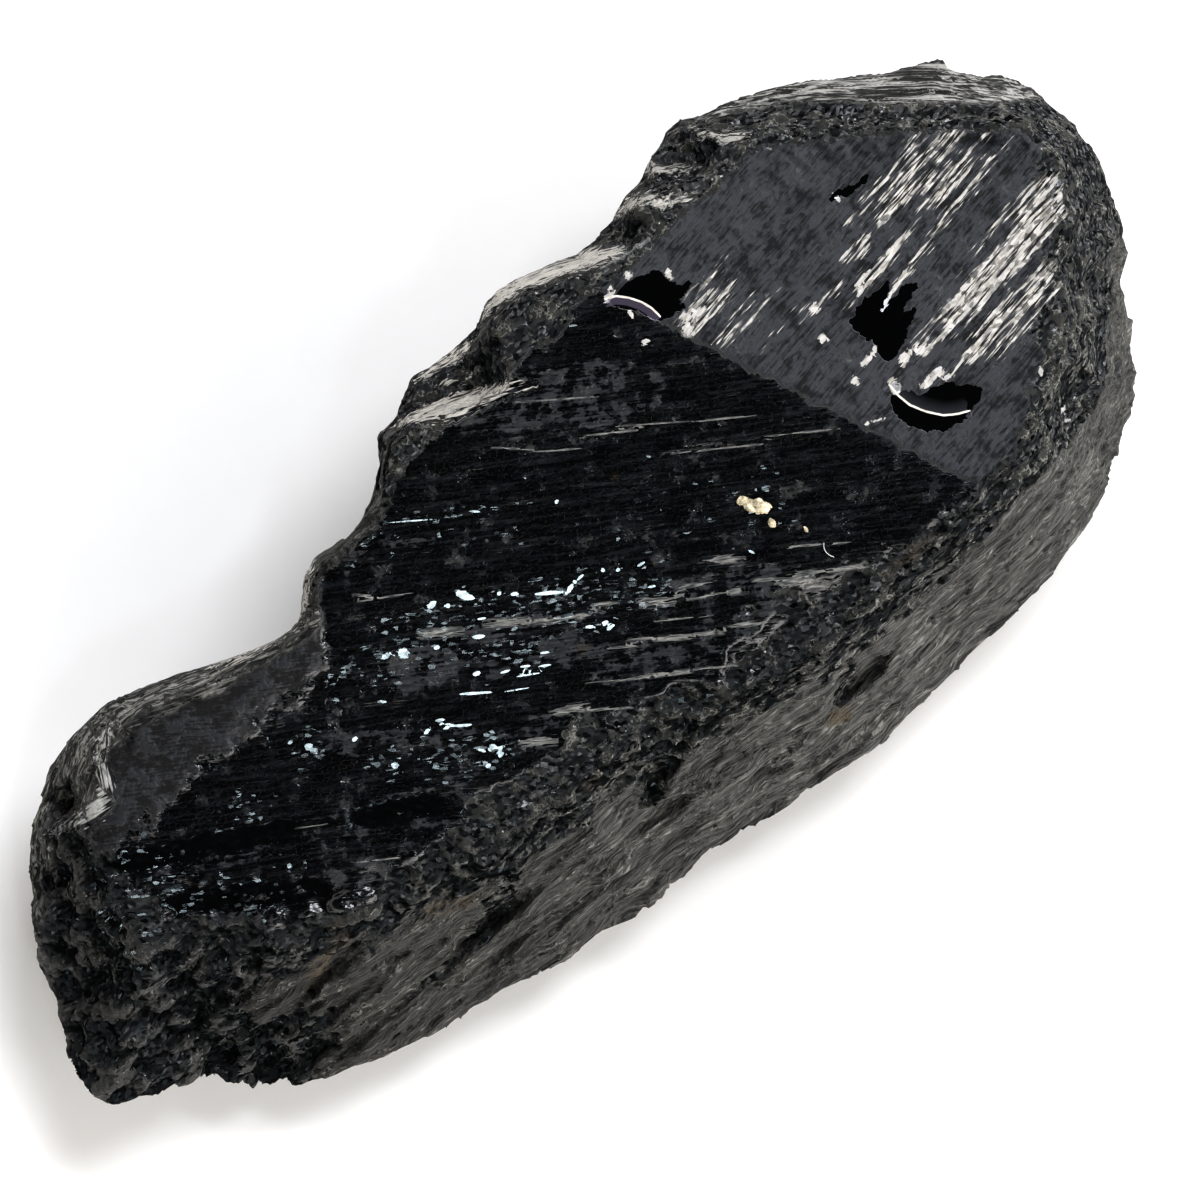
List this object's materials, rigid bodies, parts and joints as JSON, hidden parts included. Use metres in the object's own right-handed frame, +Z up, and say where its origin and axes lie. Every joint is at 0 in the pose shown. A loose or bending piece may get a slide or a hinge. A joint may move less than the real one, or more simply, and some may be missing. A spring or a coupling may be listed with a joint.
{
  "type": "tourmaline crystal fragment",
  "caption": "Rough fragment of black tourmaline with ribbed broad faces, stepped ledges at the back, a fibrous front flank and a flat face below to rest on.",
  "frame": {"origin": "middle of the bounding box in X and Y, on the flat face that the fragment rests on", "axes": "+X along the fibres towards the blunt head, +Y towards the stepped back, +Z up"},
  "size_m": [0.0996, 0.0432, 0.0282],
  "materials": {
    "tourmaline": "satin"
  },
  "bodies": {
    "root": {"tourmaline_crystal": "tourmaline"}
  },
  "joints": []
}
